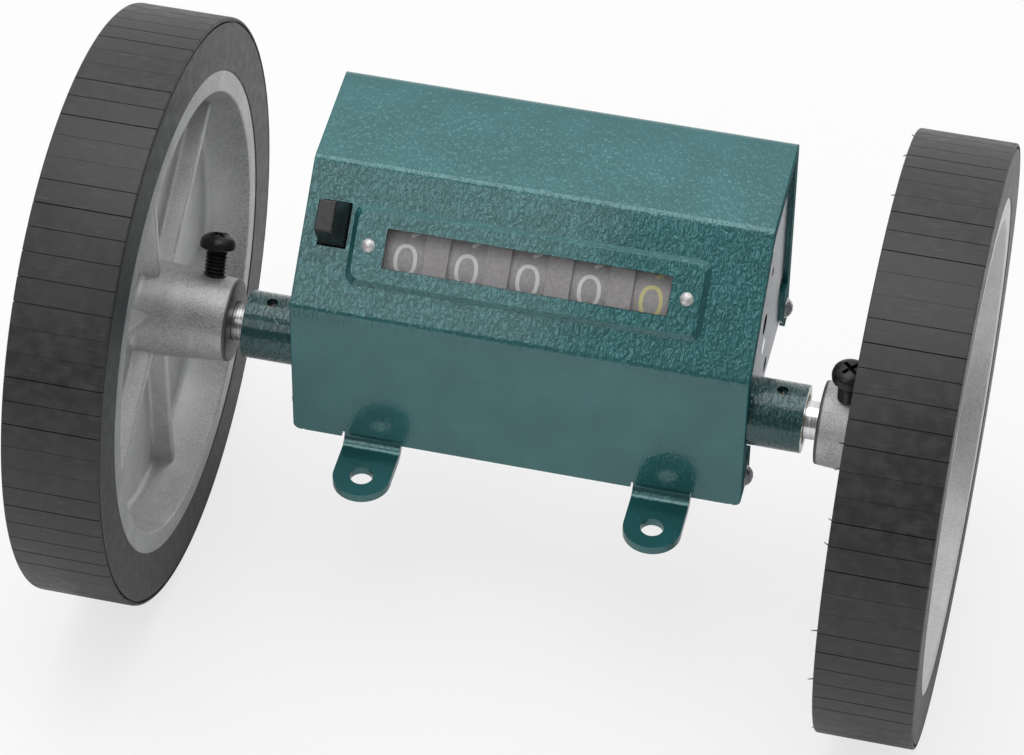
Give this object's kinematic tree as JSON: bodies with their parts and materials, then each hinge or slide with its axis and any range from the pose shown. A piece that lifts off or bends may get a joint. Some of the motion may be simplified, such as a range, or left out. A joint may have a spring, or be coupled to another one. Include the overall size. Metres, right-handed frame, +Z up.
{
  "type": "two-wheel length counter",
  "caption": "Rolling length counter: rubber tyred wheels on one axle drive a row of number drums behind a window in a sheet metal case, with a reset button and bolt-down feet.",
  "frame": {"origin": "centre of the axle, midway between the two wheels", "axes": "+X along the axle towards the right wheel, -Y towards the front with the window and the feet, +Z up"},
  "size_m": [0.1572, 0.1062, 0.1062],
  "materials": {
    "green_paint": "hammertone enamel",
    "dark_green_paint": "hammertone enamel",
    "zinc_plate": "dull zinc plate",
    "bright_steel": "ground and polished",
    "spring_steel": "drawn wire",
    "black_steel": "blackened",
    "screw_steel": "dark zinc plate",
    "bronze": "sintered",
    "cast_aluminium": "sand cast, grainy",
    "rubber_tyre": "matt rubber",
    "clear_window": "clear plastic sheet",
    "drum_grey": "matt with white numbers",
    "pinion_plastic": "moulded",
    "gear_brass": "cut",
    "black_plastic": "moulded, satin"
  },
  "bodies": {
    "case": {"cover": "green_paint", "window_lens": "clear_window", "number_mask": "drum_grey", "window_rivets": "bright_steel", "base_bracket": "green_paint", "base_rivets": "bright_steel", "floor_plate": "zinc_plate", "left_side_plate": "zinc_plate", "right_side_plate": "zinc_plate", "left_bearing_sleeve": "dark_green_paint", "right_bearing_sleeve": "dark_green_paint", "left_bush": "bronze", "right_bush": "bronze", "left_cover_screws": "screw_steel", "right_cover_screws": "screw_steel", "tie_rods": "zinc_plate", "drum_shaft": "bright_steel", "pinion_shaft": "bright_steel", "idler_shaft": "bright_steel", "rocker_shaft": "bright_steel", "shaft_clips": "spring_steel", "shaft_spacers": "bronze", "button_guide": "zinc_plate", "return_spring": "spring_steel"},
    "wheel_axle": {"axle_shaft": "bright_steel", "left_rim": "cast_aluminium", "right_rim": "cast_aluminium", "left_tyre": "rubber_tyre", "right_tyre": "rubber_tyre", "left_set_screw": "black_steel", "right_set_screw": "black_steel", "drive_gear": "gear_brass"},
    "idler": {"idler_gear": "gear_brass"},
    "drum_1": {"number_drum_1": "drum_grey"},
    "drum_2": {"number_drum_2": "drum_grey"},
    "drum_3": {"number_drum_3": "drum_grey"},
    "drum_4": {"number_drum_4": "drum_grey"},
    "drum_5": {"number_drum_5": "drum_grey"},
    "pinion_1": {"transfer_pinion_1": "pinion_plastic"},
    "pinion_2": {"transfer_pinion_2": "pinion_plastic"},
    "pinion_3": {"transfer_pinion_3": "pinion_plastic"},
    "pinion_4": {"transfer_pinion_4": "pinion_plastic"},
    "button": {"reset_button": "black_plastic"},
    "hammer_bar": {"reset_rocker": "zinc_plate"}
  },
  "joints": [
    {"name": "axle_spin", "type": "hinge", "parent": "case", "child": "wheel_axle", "pos_m": [0, 0, 0], "axis": [1, 0, 0], "continuous": true},
    {"name": "idler_spin", "type": "hinge", "parent": "case", "child": "idler", "pos_m": [0, 0.01494, 0.00138], "axis": [1, 0, 0], "continuous": true},
    {"name": "drum_5_spin", "type": "hinge", "parent": "case", "child": "drum_5", "pos_m": [0, 0.01071, 0.01314], "axis": [1, 0, 0], "continuous": true},
    {"name": "drum_4_spin", "type": "hinge", "parent": "case", "child": "drum_4", "pos_m": [0, 0.01071, 0.01314], "axis": [1, 0, 0], "continuous": true},
    {"name": "drum_3_spin", "type": "hinge", "parent": "case", "child": "drum_3", "pos_m": [0, 0.01071, 0.01314], "axis": [1, 0, 0], "continuous": true},
    {"name": "drum_2_spin", "type": "hinge", "parent": "case", "child": "drum_2", "pos_m": [0, 0.01071, 0.01314], "axis": [1, 0, 0], "continuous": true},
    {"name": "drum_1_spin", "type": "hinge", "parent": "case", "child": "drum_1", "pos_m": [0, 0.01071, 0.01314], "axis": [1, 0, 0], "continuous": true},
    {"name": "pinion_4_spin", "type": "hinge", "parent": "case", "child": "pinion_4", "pos_m": [0, 0.01944, 0.02047], "axis": [1, 0, 0], "continuous": true},
    {"name": "pinion_3_spin", "type": "hinge", "parent": "case", "child": "pinion_3", "pos_m": [0, 0.01944, 0.02047], "axis": [1, 0, 0], "continuous": true},
    {"name": "pinion_2_spin", "type": "hinge", "parent": "case", "child": "pinion_2", "pos_m": [0, 0.01944, 0.02047], "axis": [1, 0, 0], "continuous": true},
    {"name": "pinion_1_spin", "type": "hinge", "parent": "case", "child": "pinion_1", "pos_m": [0, 0.01944, 0.02047], "axis": [1, 0, 0], "continuous": true},
    {"name": "button_press", "type": "slide", "parent": "case", "child": "button", "axis": [0, 0.7164, -0.6977], "range_m": [0, 0.0025], "stiffness_N_per_m": 400, "springref_m": -0.002},
    {"name": "hammer_bar_swing", "type": "hinge", "parent": "case", "child": "hammer_bar", "pos_m": [0, -0.00202, 0.00997], "axis": [1, 0, 0], "range_deg": [-12.5, 0]}
  ],
  "couplings": [
    {"joint": "idler_spin", "follows": "axle_spin", "ratio": -0.5},
    {"joint": "drum_5_spin", "follows": "axle_spin", "ratio": 0.33333},
    {"joint": "drum_4_spin", "follows": "axle_spin", "ratio": 0.033333},
    {"joint": "drum_3_spin", "follows": "axle_spin", "ratio": 0.0033333},
    {"joint": "drum_2_spin", "follows": "axle_spin", "ratio": 0.00033333},
    {"joint": "drum_1_spin", "follows": "axle_spin", "ratio": 0.000033333},
    {"joint": "pinion_4_spin", "follows": "axle_spin", "ratio": -0.083333},
    {"joint": "pinion_3_spin", "follows": "axle_spin", "ratio": -0.0083333},
    {"joint": "pinion_2_spin", "follows": "axle_spin", "ratio": -0.00083333},
    {"joint": "pinion_1_spin", "follows": "axle_spin", "ratio": -0.000083333},
    {"joint": "hammer_bar_swing", "follows": "button_press", "rad_per_m": -84}
  ]
}
